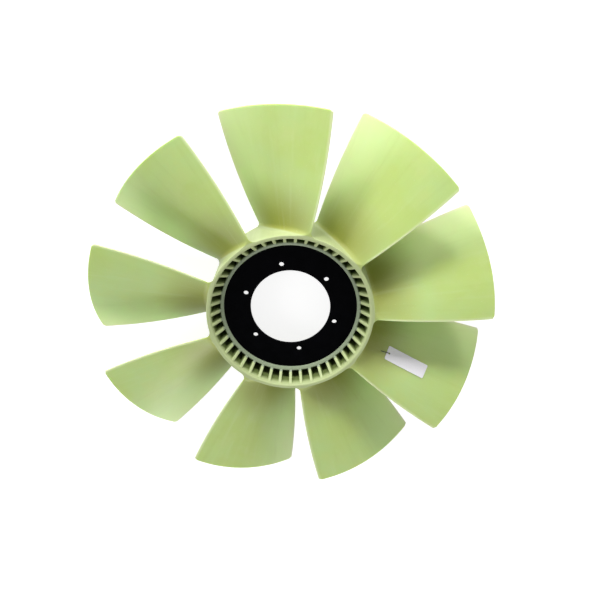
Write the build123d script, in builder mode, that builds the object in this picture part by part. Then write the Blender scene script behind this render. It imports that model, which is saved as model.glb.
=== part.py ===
from build123d import *
from math import asin, cos, hypot, isclose, radians, sin, sqrt, tan
import os

os.makedirs("parts", exist_ok=True)

# An axial fan wheel lying flat, its front up. The origin is the bore's centre on the
# front face of the steel disc, and heights are counted from that face.

# Steel disc
bore_diameter = 149.0
disc_thickness = 5.0
bolt_count = 6
bolt_circle_diameter = 175.0
bolt_hole_diameter = 9.0
bolt_start_angle = 40.3

# Lip that grips the disc
lip_inner_diameter = 249.0
lip_width = 7.0
lip_height = 7.0
lip_edge_height = 3.0
lip_crown_inset = 1.8
lip_crown_drop = 1.0
disc_grip = 4.5
insert_clearance = 0.02

# Hub wall, tapered for the mould, outside the ring of pockets
pocket_width = 15.0
hub_draft_angle = 1.5
hub_front_height = 35.0
hub_rear_depth = 62.0
hub_wall = 7.5
hub_rear_wall = 5.5
crown_rounding = 4.0

# Ribs, and the pockets between them
rib_count = 45
rib_thickness = 5.5
rib_start_angle = 5.7
pocket_depth = 38.0
pocket_floor = 5.0

# Blades
tip_diameter = 750.0
blade_count = 9
blade_start_angle = 14.1
blade_root_width = 91.0
blade_tip_width = 198.6
blade_edge_bow = 5.3
front_edge_root_height = 34.0
front_edge_tip_height = 30.0
rear_edge_root_depth = 60.0
rear_edge_tip_depth = 51.0
root_camber = 9.0
tip_camber = 12.0
root_thickness = 8.0
tip_thickness = 4.5
blade_edge_thickness = 3.0
tip_corner_radius = 5.0
root_fillet = 10.0
blade_sections = 6
blade_run_in = 8.0
blade_run_out = 10.0
root_margin = 4.0

# Paper tag and its tie
tag_blade = 8
tag_to_hub = 51.0
tag_length = 86.0
tag_width = 27.0
tag_thickness = 0.4
tag_offset = -12.5
tag_skew = -2.6
tag_clearance = 0.5
tag_hole_diameter = 3.6
tag_hole_setback = 5.6
tag_sections = 4
tie_diameter = 1.2
tie_clearance = 0.3
tie_length = 17.8
tie_drift = -3.2
tie_bend_radius = 1.5

# Nearness at which an edge counts as lying on the hub wall
wall_touch = 0.05

# Derived radii and heights
lip_inner_radius = lip_inner_diameter / 2
lip_outer_radius = lip_inner_radius + lip_width
disc_radius = lip_inner_radius + disc_grip
pocket_outer_radius = lip_outer_radius + pocket_width
hub_front_radius = pocket_outer_radius + hub_wall
hub_draft = tan(radians(hub_draft_angle))
hub_rear_radius = hub_front_radius - hub_draft * (hub_front_height + hub_rear_depth)
hub_rear_inner_radius = hub_rear_radius - hub_rear_wall
rib_outer_height = hub_front_height - crown_rounding
floor_top = -pocket_depth
floor_bottom = -pocket_depth - pocket_floor
tip_radius = tip_diameter / 2
tag_start = hub_front_radius + tag_to_hub
gap_angle = blade_start_angle + 180 / blade_count
wall_middle_front = hub_front_radius - (hub_wall - crown_rounding) / 2
wall_middle_rear = wall_middle_front - (hub_front_radius - hub_rear_radius)

# Upright plane through the gap between two blades, where the turned faces have their seams
gap_plane = Plane.XZ.rotated((0, 0, gap_angle))
# Upright plane opposite the blade along X
far_plane = Plane.XZ.rotated((0, 0, 180))

# The blade's root and tip stations, where its half width meets the hub and the tip circle
root_station = sqrt(hub_front_radius**2 - (blade_root_width / 2) ** 2)
tip_station = sqrt(tip_radius**2 - (blade_tip_width / 2) ** 2)


def hub_radius(height):
    """Outer radius of the hub wall at a height."""
    return hub_rear_radius + hub_draft * (height + hub_rear_depth)


def lies_on_wall(edge):
    """Whether an edge runs on the hub wall's outer face."""
    points = [edge @ 0, edge @ 0.3, edge @ 0.5, edge @ 1]
    return all(isclose(hypot(p.X, p.Y), hub_radius(p.Z), abs_tol=wall_touch) for p in points)


class BladeSection:
    """Section of a blade across its own axis, which runs along X, at a distance from the wheel's centre."""

    def __init__(self, station):
        share = (station - root_station) / (tip_station - root_station)
        fade = (1 - share) ** 2
        half_width = (blade_root_width + (blade_tip_width - blade_root_width) * share) / 2
        self.half_width = half_width + 4 * blade_edge_bow * share * (1 - share)
        front_height = front_edge_tip_height + (front_edge_root_height - front_edge_tip_height) * fade
        rear_depth = rear_edge_tip_depth + (rear_edge_root_depth - rear_edge_tip_depth) * fade
        self.station = station
        self.camber = root_camber + (tip_camber - root_camber) * share
        self.thickness = root_thickness + (tip_thickness - root_thickness) * share
        self.front = Vector(-self.half_width, front_height)
        self.rear = Vector(self.half_width, -rear_depth)
        self.along = (self.rear - self.front).normalized()
        self.up = Vector(-self.along.Y, self.along.X)
        self.middle = (self.front + self.rear) * 0.5
        self.half_chord = (self.rear - self.front).length / 2

    def front_face(self, across, lift):
        """Point off the front face, across from mid chord towards the rear edge, as a point of the wheel."""
        rise = self.camber + (self.thickness - blade_edge_thickness) / 2
        radius = (self.half_chord**2 + rise**2) / (2 * rise)
        turn = asin(across / radius)
        centre = self.middle + self.up * (blade_edge_thickness / 2 + rise - radius)
        point = centre + self.along * ((radius + lift) * sin(turn)) + self.up * ((radius + lift) * cos(turn))
        return Vector(self.station, point.X, point.Y)


with BuildPart() as mounting_disc:
    with BuildSketch(Plane.XY.offset(-disc_thickness)):
        Circle(disc_radius)
        Circle(bore_diameter / 2, mode=Mode.SUBTRACT)
        with PolarLocations(bolt_circle_diameter / 2, bolt_count, start_angle=bolt_start_angle):
            Circle(bolt_hole_diameter / 2, mode=Mode.SUBTRACT)
    extrude(amount=disc_thickness)

# One blade, along X, from inside the hub wall to past the tip circle
loft_start = pocket_outer_radius - blade_run_in
loft_end = tip_radius + blade_run_out
with BuildPart() as blade:
    for k in range(blade_sections):
        section = BladeSection(loft_start + (loft_end - loft_start) * k / (blade_sections - 1))
        with BuildSketch(Plane(origin=(section.station, 0, 0), x_dir=(0, 1, 0), z_dir=(1, 0, 0))):
            with BuildLine():
                half_edge = section.up * (blade_edge_thickness / 2)
                half_middle = section.up * (section.thickness / 2)
                crest = section.middle + section.up * section.camber
                ThreePointArc(section.front + half_edge, crest + half_middle, section.rear + half_edge)
                Line(section.rear + half_edge, section.rear - half_edge)
                ThreePointArc(section.rear - half_edge, crest - half_middle, section.front - half_edge)
                Line(section.front - half_edge, section.front + half_edge)
            make_face()
    loft()
    # Planform with the tip circle and its rounded corners
    tip_half = blade_tip_width / 2
    edge_slope = tip_half - BladeSection(tip_station - 1).half_width
    base_half = tip_half - edge_slope * (tip_station - lip_inner_radius)
    with BuildSketch(Plane.XY):
        with BuildLine():
            Polyline(
                (tip_station, tip_half),
                (lip_inner_radius, base_half),
                (lip_inner_radius, -base_half),
                (tip_station, -tip_half),
            )
            ThreePointArc((tip_station, -tip_half), (tip_radius, 0), (tip_station, tip_half))
        make_face()
        fillet(vertices().group_by(Axis.X)[-1], tip_corner_radius)
    extrude(amount=hub_rear_depth + hub_front_height, both=True, mode=Mode.INTERSECT)

# The same blade with its root fillet, on the stretch of hub wall that it stands on. The wall is
# taller than the hub while the fillet is made, so that the fillet runs past the wall's ends.
wall_top = hub_front_height + 2 * root_fillet
wall_foot = -hub_rear_depth - 2 * root_fillet
root_half_angle = asin((blade_root_width / 2 + root_fillet + root_margin) / hub_rear_radius)
with BuildPart() as rooted_blade:
    with BuildSketch(far_plane):
        with BuildLine():
            Polyline(
                (hub_radius(wall_foot) - hub_wall, wall_foot),
                (hub_radius(wall_foot), wall_foot),
                (hub_radius(wall_top), wall_top),
                (hub_radius(wall_top) - hub_wall, wall_top),
                close=True,
            )
        make_face()
    revolve(axis=Axis.Z)
    add(blade.part)
    wall_edges = rooted_blade.edges().filter_by(lies_on_wall)
    root_edges = wall_edges.filter_by(GeomType.CIRCLE, reverse=True).filter_by(GeomType.LINE, reverse=True)
    fillet(root_edges, root_fillet)
    with BuildSketch(Plane.XY.offset(-hub_rear_depth)):
        with BuildLine():
            wedge_reach = tip_radius + blade_run_out
            wedge_rise = wedge_reach * tan(root_half_angle)
            Polyline((0, 0), (wedge_reach, wedge_rise), (wedge_reach, -wedge_rise), close=True)
        make_face()
    extrude(amount=hub_rear_depth + hub_front_height, mode=Mode.INTERSECT)
    with BuildSketch(Plane.XZ):
        with BuildLine():
            Polyline(
                (0, -hub_rear_depth),
                (wall_middle_rear, -hub_rear_depth),
                (wall_middle_front, hub_front_height),
                (0, hub_front_height),
                close=True,
            )
        make_face()
    revolve(axis=Axis.Z, mode=Mode.SUBTRACT)

# Hub profile: lip, groove for the disc, floor, wall and the rounded crown of the rim
groove_radius = disc_radius + insert_clearance
groove_bottom = -disc_thickness - insert_clearance
crown_radius = pocket_outer_radius + crown_rounding
crown_bulge = crown_rounding * (1 - sqrt(0.5))
pocket_middle_radius = (pocket_outer_radius + lip_outer_radius) / 2

with BuildPart() as fan_moulding:
    with BuildSketch(gap_plane):
        with BuildLine():
            Polyline(
                (lip_inner_radius, lip_edge_height),
                (lip_inner_radius, insert_clearance),
                (groove_radius, insert_clearance),
                (groove_radius, groove_bottom),
                (lip_inner_radius, groove_bottom),
                (lip_inner_radius, floor_bottom),
                (hub_rear_inner_radius, floor_bottom),
                (hub_rear_inner_radius, -hub_rear_depth),
                (hub_rear_radius, -hub_rear_depth),
                (hub_front_radius, hub_front_height),
                (crown_radius, hub_front_height),
            )
            ThreePointArc(
                (crown_radius, hub_front_height),
                (pocket_outer_radius + crown_bulge, hub_front_height - crown_bulge),
                (pocket_outer_radius, rib_outer_height),
            )
            Line((pocket_outer_radius, rib_outer_height), (lip_outer_radius, lip_height))
            ThreePointArc(
                (lip_outer_radius, lip_height),
                (lip_inner_radius + lip_crown_inset, lip_height - lip_crown_drop),
                (lip_inner_radius, lip_edge_height),
            )
        make_face()
    revolve(axis=Axis.Z)
    with BuildSketch(Plane.XY.offset(floor_top)):
        Circle(pocket_outer_radius)
        Circle(lip_outer_radius, mode=Mode.SUBTRACT)
        with PolarLocations(pocket_middle_radius, rib_count, start_angle=rib_start_angle):
            Rectangle(2 * (pocket_outer_radius - lip_outer_radius), rib_thickness, mode=Mode.SUBTRACT)
    extrude(amount=pocket_depth + hub_front_height, mode=Mode.SUBTRACT)
    with PolarLocations(0, blade_count, start_angle=blade_start_angle):
        add(rooted_blade.part)

# The tag's blade and its own place round the wheel
tag_turn = Plane.XY.rotated((0, 0, blade_start_angle + tag_blade * 360 / blade_count))


def tag_point(station, across, lift):
    """Point off the front face of the tag's blade, at a place across the tag."""
    share = (station - tag_start) / tag_length - 0.5
    return BladeSection(station).front_face(tag_offset + tag_skew * share + across, lift)


with BuildPart() as flat_tag:
    for k in range(tag_sections):
        station = tag_start + tag_length * k / (tag_sections - 1)
        with BuildSketch(Plane(origin=(station, 0, 0), x_dir=(0, 1, 0), z_dir=(1, 0, 0))):
            corners = [
                tag_point(station, -tag_width / 2, tag_clearance),
                tag_point(station, tag_width / 2, tag_clearance),
                tag_point(station, tag_width / 2, tag_clearance + tag_thickness),
                tag_point(station, -tag_width / 2, tag_clearance + tag_thickness),
            ]
            with BuildLine():
                Polyline(*[(p.Y, p.Z) for p in corners], close=True)
            make_face()
    loft(ruled=True)
    hole_foot = tag_point(tag_start + tag_hole_setback, 0, 0)
    hole_axis = tag_point(tag_start + tag_hole_setback, 0, 1) - hole_foot
    with BuildSketch(Plane(origin=hole_foot, z_dir=hole_axis)):
        Circle(tag_hole_diameter / 2)
    extrude(amount=tag_clearance + 3 * tag_thickness, mode=Mode.SUBTRACT)

# The tie rises through the hole, bends over the tag's end and lies down on the blade
tie_radius = tie_diameter / 2
low_lift = tie_clearance + tie_radius
high_lift = tag_clearance + tag_thickness + tie_clearance + tie_radius
tie_start = tag_start + tag_hole_setback
tie_route = [
    tag_point(tie_start, 0, low_lift),
    tag_point(tie_start - tie_diameter, 0, high_lift),
    tag_point(tag_start - tie_diameter, tie_drift * 0.3, high_lift),
    tag_point(tag_start - 3 * tie_diameter, tie_drift * 0.5, low_lift),
    tag_point(tie_start - tie_length, tie_drift, low_lift),
]
with BuildPart() as loose_tie:
    with BuildLine() as tie_line:
        FilletPolyline(*tie_route, radius=tie_bend_radius)
    with BuildSketch(Plane(origin=tie_line.line @ 0, z_dir=tie_line.line % 0)):
        Circle(tie_radius)
    sweep()

with BuildPart() as tag:
    add(tag_turn * flat_tag.part)

with BuildPart() as tag_tie:
    add(tag_turn * loose_tie.part)

for name, piece in (
    ("fan_moulding", fan_moulding),
    ("mounting_disc", mounting_disc),
    ("tag", tag),
    ("tag_tie", tag_tie),
):
    piece.part.label = name
    export_step(piece.part, "parts/" + name + ".step")
    print(name, len(piece.part.solids()), piece.part.is_valid, round(piece.part.volume))
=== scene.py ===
import math

import bmesh
import bpy
from mathutils import Matrix, Vector


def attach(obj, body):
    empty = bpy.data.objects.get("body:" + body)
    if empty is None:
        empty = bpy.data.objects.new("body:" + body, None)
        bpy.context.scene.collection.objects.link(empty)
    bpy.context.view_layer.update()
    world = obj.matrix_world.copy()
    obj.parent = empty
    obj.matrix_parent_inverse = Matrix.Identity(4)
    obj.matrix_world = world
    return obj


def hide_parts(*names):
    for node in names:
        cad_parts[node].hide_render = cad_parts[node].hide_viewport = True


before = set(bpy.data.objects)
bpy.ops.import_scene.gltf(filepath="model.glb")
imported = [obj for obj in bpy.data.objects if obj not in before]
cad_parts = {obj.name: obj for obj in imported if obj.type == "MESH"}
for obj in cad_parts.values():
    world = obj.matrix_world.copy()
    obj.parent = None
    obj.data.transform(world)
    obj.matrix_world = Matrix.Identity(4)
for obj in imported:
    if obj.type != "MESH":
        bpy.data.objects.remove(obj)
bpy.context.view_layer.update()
print("frame loaded, nodes:", sorted(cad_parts))


# general helpers

tiny = 1e-6  # points closer than this, in metres, count as one


def clearSelection():
    if bpy.context.mode != "OBJECT":
        bpy.ops.object.mode_set(mode="OBJECT")
    bpy.ops.object.select_all(action="DESELECT")


def makeActive(piece):
    clearSelection()
    piece.select_set(True)
    bpy.context.view_layer.objects.active = piece


def namePiece(name):
    piece = bpy.context.active_object
    piece.name = name
    piece.data.name = name
    return piece


def settle(piece):  # place, turn and size go into the mesh
    makeActive(piece)
    bpy.ops.object.transform_apply(location=True, rotation=True, scale=True)


def applyModifier(piece, kind, **values):
    makeActive(piece)
    modifier = piece.modifiers.new(kind.title(), kind)
    for key, value in values.items():
        setattr(modifier, key, value)
    bpy.ops.object.modifier_apply(modifier=modifier.name)


def mergeAndFaceOut(piece, distance=tiny):
    makeActive(piece)
    bpy.ops.object.mode_set(mode="EDIT")
    bpy.ops.mesh.select_all(action="SELECT")
    bpy.ops.mesh.remove_doubles(threshold=distance)
    bpy.ops.mesh.normals_make_consistent(inside=False)
    bpy.ops.object.mode_set(mode="OBJECT")


def smoothBelow(piece, degrees):
    makeActive(piece)
    bpy.ops.object.shade_smooth_by_angle(angle=math.radians(degrees))


def joinInto(piece, others):
    makeActive(piece)
    for other in others:
        other.select_set(True)
    bpy.ops.object.join()
    return piece


def copyRound(piece, count, firstAngle):  # copies round the wheel's axis, each with its own mesh
    copies = []
    for k in range(count):
        copy = piece.copy()
        copy.data = piece.data.copy()
        bpy.context.collection.objects.link(copy)
        copy.rotation_euler.z = math.radians(firstAngle + 360 * k / count)
        settle(copy)
        copies.append(copy)
    bpy.data.objects.remove(piece)
    return copies


def roundedOutline(corners, steps):  # corners are (r, z, rounding radius), and each rounding is a short arc
    points = []
    for k, (r, z, radius) in enumerate(corners):
        here = Vector((r, z))
        before = (Vector(corners[k - 1][:2]) - here).normalized()
        after = (Vector(corners[(k + 1) % len(corners)][:2]) - here).normalized()
        half = before.angle(after) / 2
        turn = math.pi - 2 * half
        centre = here + (before + after).normalized() * (radius / math.sin(half))
        start = here + before * (radius / math.tan(half)) - centre
        end = here + after * (radius / math.tan(half)) - centre
        for j in range(steps + 1):
            share = j / steps
            weightStart = math.sin((1 - share) * turn) / math.sin(turn)
            weightEnd = math.sin(share * turn) / math.sin(turn)
            points.append(centre + start * weightStart + end * weightEnd)
    return points


def spinOutline(name, outline, steps):  # turns a closed outline of (r, z) points round the wheel's axis
    clearSelection()
    bpy.ops.mesh.primitive_circle_add(vertices=len(outline))
    piece = namePiece(name)
    for vertex, point in zip(piece.data.vertices, outline):
        vertex.co = (point[0], 0, point[1])
    bpy.ops.object.mode_set(mode="EDIT")
    bpy.ops.mesh.select_all(action="SELECT")
    bpy.ops.mesh.spin(steps=steps, angle=2 * math.pi, center=(0, 0, 0), axis=(0, 0, 1))
    bpy.ops.object.mode_set(mode="OBJECT")
    mergeAndFaceOut(piece, distance=1e-5)
    return piece


# the hub ring, with the trough that the ribs stand in

hubValues = {
    "lipInner": 0.1245, "lipOuter": 0.1315, "lipTop": 0.007, "lipInnerTop": 0.0035,
    "wallFront": 0.154, "wallRear": 0.15146, "pocketOuter": 0.1465, "rearInner": 0.14596,
    "top": 0.035, "bottom": -0.062, "floorTop": -0.038, "floorBottom": -0.043,
    "lipRounding": 0.002, "crownRounding": 0.0032, "crownOuterRounding": 0.0018,
    "floorRounding": 0.002, "rearRounding": 0.003, "cornerRounding": 0.0012,
    "steps": 216, "roundingSteps": 5, "smoothAngle": 35,
}


def makeHub():
    v = hubValues
    corner = v["cornerRounding"]
    outline = roundedOutline([
        (v["lipInner"], v["floorBottom"], corner),
        (v["rearInner"], v["floorBottom"], v["rearRounding"]),
        (v["rearInner"], v["bottom"], corner),
        (v["wallRear"], v["bottom"], corner),
        (v["wallFront"], v["top"], v["crownOuterRounding"]),
        (v["pocketOuter"], v["top"], v["crownRounding"]),
        (v["pocketOuter"], v["floorTop"], v["floorRounding"]),
        (v["lipOuter"], v["floorTop"], v["floorRounding"]),
        (v["lipOuter"], v["lipTop"], v["lipRounding"]),
        (v["lipInner"], v["lipInnerTop"], corner),
    ], v["roundingSteps"])
    return spinOutline("hubRing", outline, v["steps"])


ribValues = {
    "count": 45, "firstAngle": 5.7, "width": 0.0055, "draft": 0.0009,
    "inner": 0.1295, "outer": 0.1485, "innerTop": 0.0062, "outerTop": 0.0312, "bottom": -0.040,
    "topRounding": 0.0012, "topSegments": 3,
}


def makeRibs():
    v = ribValues
    clearSelection()
    bpy.ops.mesh.primitive_cube_add(size=2)
    rib = namePiece("rib")
    for vertex in rib.data.vertices:
        outside, above = vertex.co.x > 0, vertex.co.z > 0
        side = math.copysign(1, vertex.co.y)
        half = v["width"] / 2 + (0 if above else v["draft"])
        top = v["outerTop"] if outside else v["innerTop"]
        vertex.co = (v["outer"] if outside else v["inner"], side * half, top if above else v["bottom"])
    bpy.ops.object.mode_set(mode="EDIT")
    bpy.ops.mesh.select_all(action="DESELECT")
    bpy.ops.mesh.select_mode(type="EDGE")
    shape = bmesh.from_edit_mesh(rib.data)
    for edge in shape.edges:  # the two long edges of the top
        a, b = edge.verts
        if a.co.z > 0 and b.co.z > 0 and abs(a.co.y - b.co.y) < tiny:
            edge.select_set(True)
    bmesh.update_edit_mesh(rib.data)
    bpy.ops.mesh.bevel(offset=v["topRounding"], segments=v["topSegments"], profile=0.5)
    bpy.ops.object.mode_set(mode="OBJECT")
    return copyRound(rib, v["count"], v["firstAngle"])


# the blades

bladeValues = {
    "count": 9, "firstAngle": 14.1, "tipRadius": 0.375,
    "rootWidth": 0.091, "tipWidth": 0.1986, "edgeBow": 0.0053,
    "frontRoot": 0.034, "frontTip": 0.030, "rearRoot": 0.060, "rearTip": 0.051,
    "camberRoot": 0.009, "camberTip": 0.012, "thickRoot": 0.008, "thickTip": 0.0045, "thickEdge": 0.003,
    "cornerRadius": 0.0022, "tipRounding": 0.0013,
    "fillet": 0.010, "filletSink": 0.0001, "footDepth": 0.003, "wallMargin": 0.0002,
    # rows and columns of the skin; crowding draws the columns towards the two edges
    "columns": 34, "rows": 26, "filletRows": 9, "edgePoints": 7, "tipRows": 4, "crowding": 0.35,
    "searchFrom": 0.2, "searchRounds": 12, "matchDigits": 6,
    # where the nylon's painted light begins and ends: painted shade at the root, a painted glow at the rear
    # edge and a painted highlight on the edges; rootEdgeShare is how much weaker the root's painted shade is
    # at the edges
    "rootShadeFrom": 0.158, "rootShadeTo": 0.262, "rootEdgeShare": 0.5, "rearGlowFrom": 0.05,
    "edgeLineFrom": 0.164, "edgeLineTo": 0.190,
}


def hubRadiusAt(z):
    v = hubValues
    return v["wallRear"] + (v["wallFront"] - v["wallRear"]) * (z - v["bottom"]) / (v["top"] - v["bottom"])


def onHub(point, height):  # the point moved along its radius to a height above the hub wall
    margin = bladeValues["wallMargin"]
    z = min(max(point.z, hubValues["bottom"] + margin), hubValues["top"] - margin)
    radius = hubRadiusAt(z) + height
    angle = math.atan2(point.y, point.x)
    return Vector((radius * math.cos(angle), radius * math.sin(angle), z))


def shareBetween(value, low, high):  # 0 at low and 1 at high, and held there beyond them
    return min(max((value - low) / (high - low), 0), 1)


class BladeSection:  # a section across the blade's own axis, at a distance from the wheel's centre
    def __init__(self, station):
        v = bladeValues
        rootStation = math.sqrt(hubValues["wallFront"] ** 2 - (v["rootWidth"] / 2) ** 2)
        tipStation = math.sqrt(v["tipRadius"] ** 2 - (v["tipWidth"] / 2) ** 2)
        share = (station - rootStation) / (tipStation - rootStation)
        fade = (1 - share) ** 2
        half = (v["rootWidth"] + (v["tipWidth"] - v["rootWidth"]) * share) / 2
        half += 4 * v["edgeBow"] * share * (1 - share)  # edgeBow is the most, half way out
        front = Vector((-half, v["frontTip"] + (v["frontRoot"] - v["frontTip"]) * fade))
        rear = Vector((half, -v["rearTip"] - (v["rearRoot"] - v["rearTip"]) * fade))
        self.station = station
        self.camber = v["camberRoot"] + (v["camberTip"] - v["camberRoot"]) * share
        self.thickness = v["thickRoot"] + (v["thickTip"] - v["thickRoot"]) * share
        self.along = (rear - front).normalized()
        self.up = Vector((-self.along.y, self.along.x))
        self.middle = (front + rear) / 2
        self.halfChord = (rear - front).length / 2

    # across runs from -1 at the front edge to 1 at the rear; side is 1 on the front face and -1 on the rear
    def point(self, across, side):
        edge = bladeValues["thickEdge"] / 2
        rise = self.camber + side * (self.thickness / 2 - edge)
        radius = (self.halfChord ** 2 + rise ** 2) / (2 * rise)
        turn = math.asin(across * self.halfChord / radius)
        centre = self.middle + self.up * (side * edge + rise - radius)
        flat = centre + self.along * (radius * math.sin(turn)) + self.up * (radius * math.cos(turn))
        return Vector((self.station, flat.x, flat.y))

    def wallAt(self, across):  # thickness from face to face
        return (self.point(across, 1) - self.point(across, -1)).length


# the places round a section: front face, rear edge, rear face, front edge
def bladeLoop():
    columns, edgePoints = bladeValues["columns"], bladeValues["edgePoints"]
    crowding = bladeValues["crowding"]
    places = []
    for k in range(columns + 1):
        even = 2 * k / columns - 1
        crowded = -math.cos(math.pi * k / columns)
        places.append((crowded * crowding + (1 - crowding) * even, 1.0, 0.0))
    rearFace = [(across, -1.0, 0.0) for across, _, _ in reversed(places)]
    turns = [math.pi * k / edgePoints for k in range(1, edgePoints)]
    places += [(1.0, math.cos(turn), math.sin(turn)) for turn in turns]
    places += rearFace
    places += [(-1.0, -math.cos(turn), -math.sin(turn)) for turn in turns]
    return places


def skinPoint(station, place, thin=1.0):  # a point of the blade's skin; thin 0 lies on its middle surface
    across, side, outward = place
    section = BladeSection(station)
    front, rear = section.point(across, 1), section.point(across, -1)
    middle, half = (front + rear) / 2, (front - rear) / 2
    point = middle + half * (side * thin)
    if outward:
        along = Vector((0, section.along.x, section.along.y))
        point += along * (outward * half.length * thin)
    return point


def stationWhere(place, wanted):  # the station at which the skin reaches a radius, given by wanted(point)
    station = wanted(Vector((bladeValues["searchFrom"], 0, 0)))
    for _ in range(bladeValues["searchRounds"]):
        point = skinPoint(station, place)
        station += wanted(point) - math.hypot(point.x, point.y)
    return station


def sharedStations(places, stations):  # one station for all the places that close on the same point
    keys = [round(place[0], bladeValues["matchDigits"]) for place in places]
    shared = {}
    for key, station in zip(keys, stations):
        shared.setdefault(key, []).append(station)
    return [sum(shared[key]) / len(shared[key]) for key in keys]


def bladeEnds(places):  # the root and tip station of each place
    v = bladeValues
    roots = [stationWhere(place, lambda point: hubRadiusAt(point.z)) for place in places]
    tips = [stationWhere(place, lambda point: v["tipRadius"]) - v["tipRounding"] for place in places]
    # rounded planform corners: the outermost columns stop short of the tip circle
    for k, place in enumerate(places):
        inset = (1 - abs(place[0])) * BladeSection(tips[k]).halfChord
        if inset < v["cornerRadius"]:
            back = v["cornerRadius"] - inset
            tips[k] -= v["cornerRadius"] - math.sqrt(v["cornerRadius"] ** 2 - back ** 2)
    return roots, tips


def footRings(places, roots):  # two rings inside the hub wall close the foot, then come the fillet's rings
    v = bladeValues
    foot = [skinPoint(root, place) for root, place in zip(roots, places)]
    ways = []  # the skin's outward direction at each place
    for root, (_, side, outward) in zip(roots, places):
        section = BladeSection(root)
        along = Vector((0, section.along.x, section.along.y))
        up = Vector((0, section.up.x, section.up.y))
        ways.append((up * side + along * outward).normalized() if outward else up * side)
    closing = zip(sharedStations(places, roots), places)
    rings = [[onHub(skinPoint(root, place, 0), -v["footDepth"]) for root, place in closing]]
    rings.append([onHub(point + way * v["fillet"], -v["footDepth"]) for point, way in zip(foot, ways)])
    for j in range(v["filletRows"]):
        theta = math.pi / 2 * j / v["filletRows"]
        spread = v["fillet"] * (1 - math.sin(theta))
        height = v["fillet"] * (1 - math.cos(theta)) - v["filletSink"]
        rings.append([onHub(point + way * spread, height) for point, way in zip(foot, ways)])
    return rings


def faceRings(places, roots, tips):  # the blade's own rings, from the fillet to the tip's rounding
    v = bladeValues
    starts = [root + v["fillet"] for root in roots]
    rings = []
    for j in range(v["rows"] + 1):
        share = j / v["rows"]
        stations = [start + (tip - start) * share for start, tip in zip(starts, tips)]
        rings.append([skinPoint(station, place) for station, place in zip(stations, places)])
    return rings


def tipRings(places, tips):  # the rounded tip, closed on the blade's middle surface
    v = bladeValues
    rings = []
    for j in range(1, v["tipRows"] + 1):
        theta = math.pi / 2 * j / v["tipRows"]
        reach = v["tipRounding"] * math.sin(theta)
        ring = []
        for tip, place in zip(tips, places):
            half = BladeSection(tip).wallAt(place[0]) / 2
            thin = (half - v["tipRounding"] * (1 - math.cos(theta))) / half
            ring.append(skinPoint(tip + reach, place, thin))
        rings.append(ring)
    closing = zip(sharedStations(places, tips), places)
    rings.append([skinPoint(tip + v["tipRounding"], place, 0) for tip, place in closing])
    return rings


def makeBlade():  # a grid wrapped round the rings, with its two long edges merged
    v = bladeValues
    places = bladeLoop()
    roots, tips = bladeEnds(places)
    rings = footRings(places, roots) + faceRings(places, roots, tips) + tipRings(places, tips)
    clearSelection()
    bpy.ops.mesh.primitive_grid_add(x_subdivisions=len(places), y_subdivisions=len(rings) - 1, size=2)
    blade = namePiece("blade")
    wide = len(places) + 1
    # the nylon reads these masks of painted light: how near the rear edge a point lies (a painted glow), how
    # near the thick root (painted shade), and the edges (a painted highlight)
    rearGlowMask = blade.data.attributes.new("rearGlowMask", "FLOAT", "POINT")
    thickRoot = blade.data.attributes.new("thickRoot", "FLOAT", "POINT")
    edgeHighlight = blade.data.attributes.new("edgeHighlight", "FLOAT", "POINT")
    for k, vertex in enumerate(blade.data.vertices):
        column = (k % wide) % len(places)
        across = places[column][0]
        vertex.co = rings[k // wide][column]
        radius = math.hypot(vertex.co.x, vertex.co.y)
        away = shareBetween(radius, v["rootShadeFrom"], v["rootShadeTo"])
        line = shareBetween(radius, v["edgeLineFrom"], v["edgeLineTo"])
        # painted glow, rising towards the rear edge
        rearGlowMask.data[k].value = shareBetween(across, v["rearGlowFrom"], 1)
        # painted shade, fading out from the root and weaker towards the two edges
        thickRoot.data[k].value = (1 - away * away * (3 - 2 * away)) * (1 - v["rootEdgeShare"] * across ** 2)
        # a painted highlight along the edges, beginning a little out from the root
        edgeHighlight.data[k].value = line if abs(across) == 1 else 0.0
    mergeAndFaceOut(blade)
    return blade


def makeMoulding():  # hub ring, ribs and blades, grown together
    moulding = makeHub()
    ribs = makeRibs()
    print("hub and", len(ribs), "ribs made")
    blades = copyRound(makeBlade(), bladeValues["count"], bladeValues["firstAngle"])
    print(len(blades), "blades made")
    grown = joinInto(ribs[0], ribs[1:] + blades)
    moulding.name = "fanMoulding"
    applyModifier(moulding, "BOOLEAN", operation="UNION", object=grown, solver="MANIFOLD")
    bpy.data.objects.remove(grown)
    mergeAndFaceOut(moulding)
    smoothBelow(moulding, hubValues["smoothAngle"])
    applyModifier(moulding, "WEIGHTED_NORMAL", keep_sharp=True)
    print("moulding joined, faces:", len(moulding.data.polygons))
    return moulding


# the steel disc

discValues = {
    "radius": 0.129, "thickness": 0.005, "bore": 0.0745,
    "holes": 6, "holeRadius": 0.0045, "holeCircle": 0.0875, "firstHole": 40.3,
    "rimSteps": 240, "boreSteps": 180, "holeSteps": 40, "cutterDepth": 0.02,
    "edgeBreak": 0.0005, "edgeSegments": 3, "edgeAngle": 40, "smoothAngle": 50,
}


def addRod(steps, radius, depth, place=(0, 0, 0)):
    bpy.ops.mesh.primitive_cylinder_add(vertices=steps, radius=radius, depth=depth, location=place)
    return bpy.context.active_object


def cutAway(piece, cutter):
    applyModifier(piece, "BOOLEAN", operation="DIFFERENCE", object=cutter)
    bpy.data.objects.remove(cutter)


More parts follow.
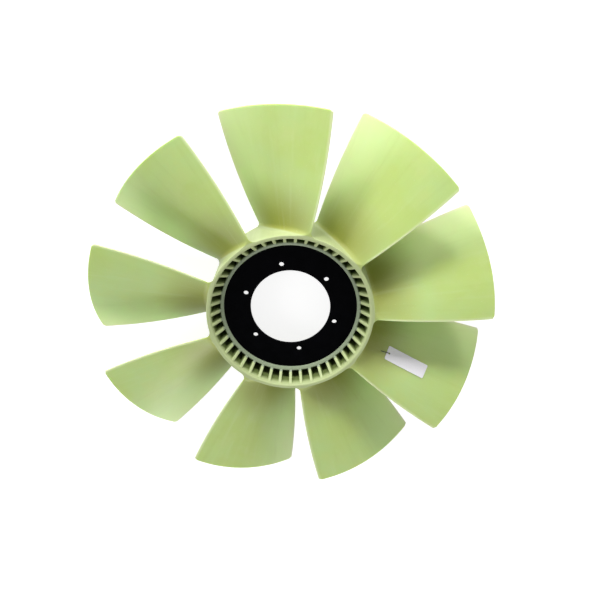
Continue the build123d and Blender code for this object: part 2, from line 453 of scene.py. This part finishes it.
def makeDisc():
    v = discValues
    clearSelection()
    addRod(v["rimSteps"], v["radius"], v["thickness"], (0, 0, -v["thickness"] / 2))
    disc = namePiece("mountingDisc")
    settle(disc)
    cutters = [addRod(v["boreSteps"], v["bore"], v["cutterDepth"])]
    for k in range(v["holes"]):
        angle = math.radians(v["firstHole"] + 360 * k / v["holes"])
        place = (v["holeCircle"] * math.cos(angle), v["holeCircle"] * math.sin(angle), 0)
        cutters.append(addRod(v["holeSteps"], v["holeRadius"], v["cutterDepth"], place))
    for cutter in cutters:
        cutAway(disc, cutter)
    applyModifier(disc, "BEVEL", width=v["edgeBreak"], segments=v["edgeSegments"],
                  limit_method="ANGLE", angle_limit=math.radians(v["edgeAngle"]))
    smoothBelow(disc, v["smoothAngle"])
    applyModifier(disc, "WEIGHTED_NORMAL", keep_sharp=True)
    return disc


# the paper tag and its tie, on the front face of the ninth blade

tagValues = {
    "blade": 8, "start": 0.205, "offset": -0.0125, "skew": -0.0026, "lift": 0.0005,
    "length": 0.086, "width": 0.027, "thickness": 0.0004, "cornerRadius": 0.0022, "cornerSegments": 5,
    "holeRadius": 0.0018, "holeSetback": 0.0056, "holeSteps": 32, "punchDepth": 0.01,
    # the tag bends along these cuts; its sides curl up, less at the tied end
    "lengthCuts": 24, "widthCuts": 8, "curl": 0.0004, "curlPower": 3, "curlAtStart": 0.4,
    "smoothAngle": 40,
}

tieValues = {
    "radius": 0.0006, "lift": 0.0003, "length": 0.0178, "drift": -0.0032,
    # the shares of that drift where the tie leaves the tag's edge and where it reaches the blade
    "driftAtEdge": 0.3, "driftAtBlade": 0.5,
    "resolution": 4, "order": 3, "mergeDistance": 1e-7, "smoothAngle": 60,
}


def onTagBlade(station, across, lift):  # a point off the front face; across is in metres from mid tag
    v = tagValues
    section = BladeSection(station)
    share = (station - v["start"]) / v["length"] - 0.5
    place = (v["offset"] + v["skew"] * share + across) / section.halfChord
    step = 0.01  # as a share of the half chord, short enough to show which way the face slopes
    point = section.point(place, 1)
    nearby = section.point(place + step, 1) - point
    off = Vector((0, -nearby.z, nearby.y)).normalized()
    return point + off * lift


def turnToTagBlade(piece):
    blade = bladeValues
    piece.rotation_euler.z = math.radians(blade["firstAngle"] + tagValues["blade"] * 360 / blade["count"])
    settle(piece)


def bendTag(tag):  # cuts the flat tag into strips and lays it on the blade
    v = tagValues
    makeActive(tag)
    bpy.ops.object.mode_set(mode="EDIT")
    for k in range(1, v["lengthCuts"]):
        bpy.ops.mesh.select_all(action="SELECT")
        bpy.ops.mesh.bisect(plane_co=(v["length"] * k / v["lengthCuts"], 0, 0), plane_no=(1, 0, 0))
    half = v["widthCuts"] // 2
    for k in range(1 - half, half):
        bpy.ops.mesh.select_all(action="SELECT")
        bpy.ops.mesh.bisect(plane_co=(0, v["width"] * k / v["widthCuts"], 0), plane_no=(0, 1, 0))
    bpy.ops.object.mode_set(mode="OBJECT")
    for vertex in tag.data.vertices:
        along, across, height = vertex.co
        edge = abs(across) / (v["width"] / 2)
        end = along / v["length"]
        lift = v["lift"] + height + v["curl"] * (edge ** v["curlPower"]) * (v["curlAtStart"] + end)
        vertex.co = onTagBlade(v["start"] + along, across, lift)


def makeTag():
    v = tagValues
    clearSelection()
    bpy.ops.mesh.primitive_plane_add(size=1)
    tag = namePiece("paperTag")
    for vertex in tag.data.vertices:
        vertex.co = ((vertex.co.x + 0.5) * v["length"], vertex.co.y * v["width"], 0)
    bpy.ops.object.mode_set(mode="EDIT")
    bpy.ops.mesh.select_all(action="SELECT")
    bpy.ops.mesh.bevel(offset=v["cornerRadius"], segments=v["cornerSegments"], affect="VERTICES")
    bpy.ops.object.mode_set(mode="OBJECT")
    applyModifier(tag, "SOLIDIFY", thickness=v["thickness"], offset=1)
    cutAway(tag, addRod(v["holeSteps"], v["holeRadius"], v["punchDepth"], (v["holeSetback"], 0, 0)))
    bendTag(tag)
    mergeAndFaceOut(tag)
    turnToTagBlade(tag)
    smoothBelow(tag, v["smoothAngle"])
    return tag


def makeTie():
    v, tag = tieValues, tagValues
    low = v["lift"] + v["radius"]
    high = tag["lift"] + tag["thickness"] + v["lift"] + v["radius"]
    hole = tag["start"] + tag["holeSetback"]
    thick = 2 * v["radius"]
    stops = [
        onTagBlade(hole, 0, low),  # in the hole, on the blade
        onTagBlade(hole - thick, 0, high),  # over the tag
        onTagBlade(tag["start"] - thick, v["drift"] * v["driftAtEdge"], high),
        onTagBlade(tag["start"] - 3 * thick, v["drift"] * v["driftAtBlade"], low),
        onTagBlade(hole - v["length"], v["drift"], low),
    ]
    line = bpy.data.curves.new("tagTie", "CURVE")
    line.dimensions = "3D"
    spline = line.splines.new("NURBS")
    spline.points.add(len(stops) - 1)
    for point, stop in zip(spline.points, stops):
        point.co = (*stop, 1)
    spline.order_u = v["order"]
    spline.use_endpoint_u = True
    line.bevel_depth = v["radius"]
    line.bevel_resolution = v["resolution"]
    line.use_fill_caps = True
    tie = bpy.data.objects.new("tagTie", line)
    bpy.context.collection.objects.link(tie)
    makeActive(tie)
    bpy.ops.object.convert(target="MESH")
    mergeAndFaceOut(tie, v["mergeDistance"])
    turnToTagBlade(tie)
    smoothBelow(tie, v["smoothAngle"])
    return tie


# the finishes

mixSockets = {"share": 0, "first": 6, "second": 7, "result": 2}  # a colour mix node's sockets, by number


class Finish:  # one Principled shader with its nodes, built step by step
    def __init__(self, name, values):
        self.material = bpy.data.materials.new(name)
        self.material.use_nodes = True
        self.tree = self.material.node_tree
        self.shader = self.tree.nodes["Principled BSDF"]
        self.place = self.add("ShaderNodeTexCoord").outputs["Object"]
        for socket, value in values.items():
            self.shader.inputs[socket].default_value = value

    def add(self, kind, **values):
        node = self.tree.nodes.new(kind)
        for key, value in values.items():
            setattr(node, key, value)
        return node

    def link(self, output, socket):
        self.tree.links.new(output, socket)

    def drive(self, output, name):  # the pattern sets one of the shader's own values
        self.link(output, self.shader.inputs[name])

    def noise(self, scale, detail, roughness, place=None):
        node = self.add("ShaderNodeTexNoise")
        node.inputs["Scale"].default_value = scale
        node.inputs["Detail"].default_value = detail
        node.inputs["Roughness"].default_value = roughness
        self.link(place or self.place, node.inputs["Vector"])
        return node.outputs["Fac"]

    def attribute(self, name):
        return self.add("ShaderNodeAttribute", attribute_name=name).outputs["Fac"]

    def vectorMath(self, operation, first, second=None):
        node = self.add("ShaderNodeVectorMath", operation=operation)
        self.link(first, node.inputs[0])
        if isinstance(second, tuple):
            node.inputs[1].default_value = second
        elif second:
            self.link(second, node.inputs[1])
        return node.outputs["Value" if operation == "LENGTH" else "Vector"]

    def arithmetic(self, operation, first, second):
        node = self.add("ShaderNodeMath", operation=operation)
        self.link(first, node.inputs[0])
        if isinstance(second, (int, float)):
            node.inputs[1].default_value = second
        else:
            self.link(second, node.inputs[1])
        return node.outputs[0]

    def fromAxis(self):  # distance from the wheel's axis
        return self.vectorMath("LENGTH", self.vectorMath("MULTIPLY", self.place, (1, 1, 0)))

    def streakPlace(self, around, outward):  # a place that draws a pattern out along the wheel's radii
        flat = self.vectorMath("MULTIPLY", self.place, (1, 1, 0))
        way = self.vectorMath("MULTIPLY", self.vectorMath("NORMALIZE", flat), (around, around, 0))
        reach = self.add("ShaderNodeCombineXYZ")
        self.link(self.arithmetic("MULTIPLY", self.fromAxis(), outward), reach.inputs["Z"])
        return self.vectorMath("ADD", way, reach.outputs["Vector"])

    def height(self):  # height above the disc's front face
        node = self.add("ShaderNodeSeparateXYZ")
        self.link(self.place, node.inputs["Vector"])
        return node.outputs["Z"]

    def spread(self, value, low, high, outLow=0.0, outHigh=1.0):  # low becomes outLow, high becomes outHigh
        node = self.add("ShaderNodeMapRange")
        ends = {"From Min": low, "From Max": high, "To Min": outLow, "To Max": outHigh}
        for key, number in ends.items():
            node.inputs[key].default_value = number
        self.link(value, node.inputs["Value"])
        return node.outputs["Result"]

    def within(self, value, low, high, soft):  # 1 between low and high, fading to 0 outside them
        rise = self.spread(value, low - soft, low)
        return self.arithmetic("MULTIPLY", rise, self.spread(value, high + soft, high))

    def mix(self, share, first, second):
        node = self.add("ShaderNodeMix", data_type="RGBA")
        self.link(share, node.inputs[mixSockets["share"]])
        for colour, name in ((first, "first"), (second, "second")):
            socket = node.inputs[mixSockets[name]]
            if isinstance(colour, tuple):
                socket.default_value = colour
            else:
                self.link(colour, socket)
        return node.outputs[mixSockets["result"]]

    def bump(self, values):  # a fine grain in the surface
        node = self.add("ShaderNodeBump")
        node.inputs["Distance"].default_value = values["grainDepth"]
        node.inputs["Strength"].default_value = values["grainStrength"]
        self.link(self.noise(*values["grain"]), node.inputs["Height"])
        self.drive(node.outputs["Normal"], "Normal")


# each pattern below is (scale, detail, roughness), and its range runs from no effect to the full effect

nylonValues = {
    "pale": (0.59, 0.745, 0.31, 1), "deep": (0.585, 0.715, 0.24, 1), "tan": (0.615, 0.735, 0.28, 1),
    # thin is the rear edges' painted glow; thick is the roots' painted shade, and the dark flow lines'
    # colour too
    "thin": (0.76, 0.925, 0.47, 1), "thick": (0.36, 0.39, 0.08, 1), "flow": (0.82, 0.92, 0.62, 1),
    # edge is a painted highlight along the blades' edges, and the pale specks' colour too
    "hub": (0.50, 0.575, 0.29, 1), "lip": (0.30, 0.36, 0.24, 1), "edge": (0.90, 0.95, 0.72, 1),
    # pocket is painted shade deep in the pockets
    "pocket": (0.17, 0.22, 0.07, 1),
    "clouds": (7.0, 3, 0.5), "cloudRange": (0.40, 0.60),
    "patches": (15.0, 4, 0.6), "patchRange": (0.48, 0.66),
    "flowLines": (1.0, 4, 0.55), "flowAround": 26.0, "flowOutward": 7.0, "flowStrength": 0.12,
    "flowPaleRange": (0.56, 0.80), "flowDarkRange": (0.44, 0.20), "flowRoughRange": (0.3, 0.7),
    "specks": (420.0, 2, 0.6), "speckRange": (0.66, 0.78), "speckStrength": 0.25, "edgeStrength": 0.45,
    "grain": (260.0, 4, 0.6), "grainDepth": 0.0002, "grainStrength": 0.35,
    # radii, heights and depths at which the hub's tones and its painted shade change
    "hubRadius": 0.1545, "hubSoft": 0.002, "lipRadius": 0.1325, "lipSoft": 0.001, "lipBehind": -0.006,
    "pocketFrom": 0.002, "pocketTo": 0.014, "pocketEdge": 0.0004, "glowSoft": 0.015,
    "bladeGlow": 1.0, "hubGlow": 0.15, "radius": (0.8, 1.0, 0.8), "scatter": 0.006,
    "gloss": 0.28, "refraction": 1.5, "smoothest": 0.35, "roughest": 0.50,
}


# a mask for the painted shade in the pockets
def pocketShade(finish, fromAxis):  # 1 deep in the pockets, well below the ribs' sloping tops
    rib, ring, v = ribValues, hubValues, nylonValues
    slope = (rib["outerTop"] - rib["innerTop"]) / (rib["outer"] - rib["inner"])
    top = finish.arithmetic("MULTIPLY", fromAxis, slope)
    top = finish.arithmetic("ADD", top, rib["innerTop"] - slope * rib["inner"])
    height = finish.height()
    depth = finish.spread(finish.arithmetic("SUBTRACT", top, height), v["pocketFrom"], v["pocketTo"])
    edge = v["pocketEdge"]
    inside = finish.within(fromAxis, ring["lipOuter"] - edge, ring["pocketOuter"] + edge, edge)
    # the pockets' floor counts, the hub's rear below it doesn't
    above = finish.spread(height, ring["floorTop"] - 3 * edge, ring["floorTop"] - 2 * edge)
    return finish.arithmetic("MULTIPLY", finish.arithmetic("MULTIPLY", depth, inside), above)


def paleNylon():
    v = nylonValues
    finish = Finish("paleNylon", {
        "Subsurface Radius": v["radius"], "Subsurface Scale": v["scatter"],
        "IOR": v["refraction"], "Specular IOR Level": v["gloss"],
    })
    fromAxis = finish.fromAxis()
    hubEnd = v["hubRadius"]
    # the thin blades let light through, the hub hardly any
    glow = finish.spread(fromAxis, hubEnd, hubEnd + v["glowSoft"], v["hubGlow"], v["bladeGlow"])
    finish.drive(glow, "Subsurface Weight")
    clouds = finish.spread(finish.noise(*v["clouds"]), *v["cloudRange"])
    patches = finish.spread(finish.noise(*v["patches"]), *v["patchRange"])
    colour = finish.mix(clouds, v["deep"], v["pale"])
    colour = finish.mix(patches, colour, v["tan"])
    # painted glow: the thin rear edge is painted paler for the light that comes through it; painted shade:
    # the thick root lets hardly any through, and is painted darker and browner
    colour = finish.mix(finish.attribute("rearGlowMask"), colour, v["thin"])
    colour = finish.mix(finish.attribute("thickRoot"), colour, v["thick"])
    # the flow of the moulded nylon shows as faint lines along the blades
    flow = finish.noise(*v["flowLines"], finish.streakPlace(v["flowAround"], v["flowOutward"]))
    paleLines = finish.spread(flow, *v["flowPaleRange"], outHigh=v["flowStrength"])
    darkLines = finish.spread(flow, *v["flowDarkRange"], outHigh=v["flowStrength"])
    colour = finish.mix(paleLines, colour, v["flow"])
    # the dark lines take the colour of the roots' painted shade
    colour = finish.mix(darkLines, colour, v["thick"])
    # the hub is greyer, its lip greyer still with painted shade, its pockets are painted dark as shade, and
    # the blades' edges get a painted highlight, the palest
    colour = finish.mix(finish.spread(fromAxis, hubEnd + v["hubSoft"], hubEnd), colour, v["hub"])
    # the lip's colour is partly its own greyer tone and partly painted shade of the trough round the disc,
    # only above the disc's front face
    lip = finish.spread(fromAxis, v["lipRadius"], v["lipRadius"] - v["lipSoft"])
    front = finish.spread(finish.height(), v["lipBehind"], 0)
    colour = finish.mix(finish.arithmetic("MULTIPLY", lip, front), colour, v["lip"])
    # painted shade deep in the pockets
    colour = finish.mix(pocketShade(finish, fromAxis), colour, v["pocket"])
    # painted highlight on the blades' edges
    line = finish.arithmetic("MULTIPLY", finish.attribute("edgeHighlight"), v["edgeStrength"])
    colour = finish.mix(line, colour, v["edge"])
    # pale specks at random, in the colour of the edges' painted highlight
    specks = finish.spread(finish.noise(*v["specks"]), *v["speckRange"], outHigh=v["speckStrength"])
    colour = finish.mix(specks, colour, v["edge"])
    finish.drive(colour, "Base Color")
    finish.drive(finish.spread(flow, *v["flowRoughRange"], v["smoothest"], v["roughest"]), "Roughness")
    finish.bump(v)
    return finish.material


steelValues = {
    "dark": (0.001, 0.001, 0.0014, 1), "worn": (0.0022, 0.0022, 0.003, 1),
    "roughness": 0.6, "gloss": 0.015,
    "wear": (40.0, 5, 0.6), "wearRange": (0.4, 0.7),
    "grain": (500.0, 3, 0.5), "grainDepth": 0.0001, "grainStrength": 0.3,
}


def blackSteel():
    v = steelValues
    finish = Finish("blackSteel", {"Roughness": v["roughness"], "Specular IOR Level": v["gloss"]})
    wear = finish.spread(finish.noise(*v["wear"]), *v["wearRange"])
    finish.drive(finish.mix(wear, v["dark"], v["worn"]), "Base Color")
    finish.bump(v)
    return finish.material


cardValues = {
    "dark": (0.93, 0.91, 0.96, 1), "light": (0.98, 0.97, 1.0, 1), "roughness": 0.65,
    "fibre": (900.0, 4, 0.5), "fibreRange": (0.35, 0.65),
    "grain": (1500.0, 3, 0.5), "grainDepth": 0.00005, "grainStrength": 0.4,
}


def tagCard():
    v = cardValues
    finish = Finish("tagCard", {"Roughness": v["roughness"]})
    fibre = finish.spread(finish.noise(*v["fibre"]), *v["fibreRange"])
    finish.drive(finish.mix(fibre, v["dark"], v["light"]), "Base Color")
    finish.bump(v)
    return finish.material


tieNylonValues = {
    "dark": (0.012, 0.012, 0.013, 1), "light": (0.022, 0.022, 0.024, 1), "roughness": 0.45,
    "mottle": (300.0, 2, 0.5),
    "grain": (2500.0, 2, 0.5), "grainDepth": 0.00003, "grainStrength": 0.4,
}


def blackNylon():
    v = tieNylonValues
    finish = Finish("blackNylon", {"Roughness": v["roughness"]})
    finish.drive(finish.mix(finish.noise(*v["mottle"]), v["dark"], v["light"]), "Base Color")
    finish.bump(v)
    return finish.material


# the pieces, and the nodes that they replace

moulding = makeMoulding()
disc = makeDisc()
tag = makeTag()
tie = makeTie()
print("disc, tag and tie made")

# each new piece, the node it stands for, its slot and its finish
dressing = [
    (moulding, "fan_moulding", "green_nylon", paleNylon()),
    (disc, "mounting_disc", "black_steel", blackSteel()),
    (tag, "tag", "tag_paper", tagCard()),
    (tie, "tag_tie", "black_nylon", blackNylon()),
]
for piece, node, slot, finish in dressing:
    piece.data.materials.clear()
    piece.data.materials.append(finish)
    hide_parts(node)
    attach(piece, "root")
print("materials set")


# the floor, camera, lamps and background

floorValues = {
    "size": 12.0, "height": -0.062, "colour": (0.55, 0.55, 0.55, 1), "roughness": 0.95, "gloss": 0.0,
    # what the camera and a gloss see: this colour and a glow, so that it looks white and keeps the shadow
    "seen": (0.50, 0.50, 0.50, 1), "glow": 0.85, "glowColour": (1, 1, 1, 1),
}


def makeFloor():
    clearSelection()
    bpy.ops.mesh.primitive_plane_add(size=floorValues["size"], location=(0, 0, floorValues["height"]))
    floor = namePiece("floor")
    settle(floor)
    return floor


cameraValues = {
    "focal": 741.72, "picture": 600, "sensor": 36.0,  # focal and picture in the picture's own pixels
    "tiltX": 23.496, "tiltY": -0.492, "standOff": (-0.01785, -0.0140625, -1.38975),
}


def makeCamera():
    v = cameraValues
    tiltX = Matrix.Rotation(math.radians(v["tiltX"]), 3, "X")
    tiltY = Matrix.Rotation(math.radians(v["tiltY"]), 3, "Y")
    turn = tiltY @ tiltX
    lens = bpy.data.cameras.new("camera")
    lens.sensor_width = v["sensor"]
    lens.lens = v["focal"] / v["picture"] * v["sensor"]
    camera = bpy.data.objects.new("camera", lens)
    bpy.context.collection.objects.link(camera)
    place = -(turn.transposed() @ Vector(v["standOff"]))
    camera.matrix_world = Matrix.Translation(place) @ turn.transposed().to_4x4()
    bpy.context.scene.camera = camera
    print("camera at", [round(c, 4) for c in place])


lampValues = {
    "distance": 2.2, "power": 36.0,
    # degrees from +X, degrees above the wheel's plane, width, share of the power
    "lamps": {
        "keyFar": (90, 14.5, 0.4, 0.60),
        "keyFarRight": (65, 13, 0.4, 0.34),
        "keyFarLeft": (115, 13, 0.4, 0.46),
        "sideFarLeft": (140, 12, 0.7, 0.28),
        "sideRight": (0, 12, 0.7, 0.09),
        "fillLeft": (180, 45, 0.9, 0.16),
        "rimLeft": (225, 12, 0.7, 0.24),
        "rimNear": (270, 12, 0.7, 0.38),
        "rimRight": (315, 12, 0.7, 0.15),
    },
}


def makeLamps():
    v = lampValues
    for name, (azimuth, height, width, share) in v["lamps"].items():
        lamp = bpy.data.lights.new(name, "AREA")
        lamp.size = width
        lamp.energy = v["power"] * share
        lampObject = bpy.data.objects.new(name, lamp)
        bpy.context.collection.objects.link(lampObject)
        turn, rise = math.radians(azimuth), math.radians(height)
        way = Vector((math.cos(rise) * math.cos(turn), math.cos(rise) * math.sin(turn), math.sin(rise)))
        lampObject.location = way * v["distance"]
        lampObject.rotation_euler = way.to_track_quat("Z", "Y").to_euler()
        lampObject.visible_camera = False


def seenDirectly(tree):  # 1 for the rays that show the background itself, in a gloss too
    path = tree.nodes.new("ShaderNodeLightPath")
    total = path.outputs["Is Camera Ray"]
    for name in ("Is Glossy Ray", "Is Transmission Ray"):
        larger = tree.nodes.new("ShaderNodeMath")
        larger.operation = "MAXIMUM"
        tree.links.new(total, larger.inputs[0])
        tree.links.new(path.outputs[name], larger.inputs[1])
        total = larger.outputs[0]
    return total


def paintFloor(floor):
    v = floorValues
    paint = bpy.data.materials.new("floorPaint")
    paint.use_nodes = True
    tree = paint.node_tree
    shader = tree.nodes["Principled BSDF"]
    shader.inputs["Roughness"].default_value = v["roughness"]
    shader.inputs["Specular IOR Level"].default_value = v["gloss"]
    shader.inputs["Emission Color"].default_value = v["glowColour"]
    seen = seenDirectly(tree)
    colour = tree.nodes.new("ShaderNodeMix")
    colour.data_type = "RGBA"
    colour.inputs[mixSockets["first"]].default_value = v["colour"]
    colour.inputs[mixSockets["second"]].default_value = v["seen"]
    tree.links.new(seen, colour.inputs[mixSockets["share"]])
    tree.links.new(colour.outputs[mixSockets["result"]], shader.inputs["Base Color"])
    glow = tree.nodes.new("ShaderNodeMath")
    glow.operation = "MULTIPLY"
    glow.inputs[1].default_value = v["glow"]
    tree.links.new(seen, glow.inputs[0])
    tree.links.new(glow.outputs[0], shader.inputs["Emission Strength"])
    floor.data.materials.append(paint)


worldValues = {"colour": (1, 1, 1, 1), "level": 0.31, "seenLevel": 1.0}


def lightWorld():
    v = worldValues
    world = bpy.data.worlds.new("world")
    bpy.context.scene.world = world
    world.use_nodes = True
    tree = world.node_tree
    background = tree.nodes["Background"]
    level = tree.nodes.new("ShaderNodeMapRange")
    level.inputs["To Min"].default_value = v["level"]
    level.inputs["To Max"].default_value = v["seenLevel"]
    tree.links.new(seenDirectly(tree), level.inputs["Value"])
    background.inputs["Color"].default_value = v["colour"]
    tree.links.new(level.outputs["Result"], background.inputs["Strength"])


paintFloor(makeFloor())
lightWorld()
makeCamera()
makeLamps()
bpy.context.scene.view_settings.view_transform = "Standard"
print("floor, background, camera and lamps set")
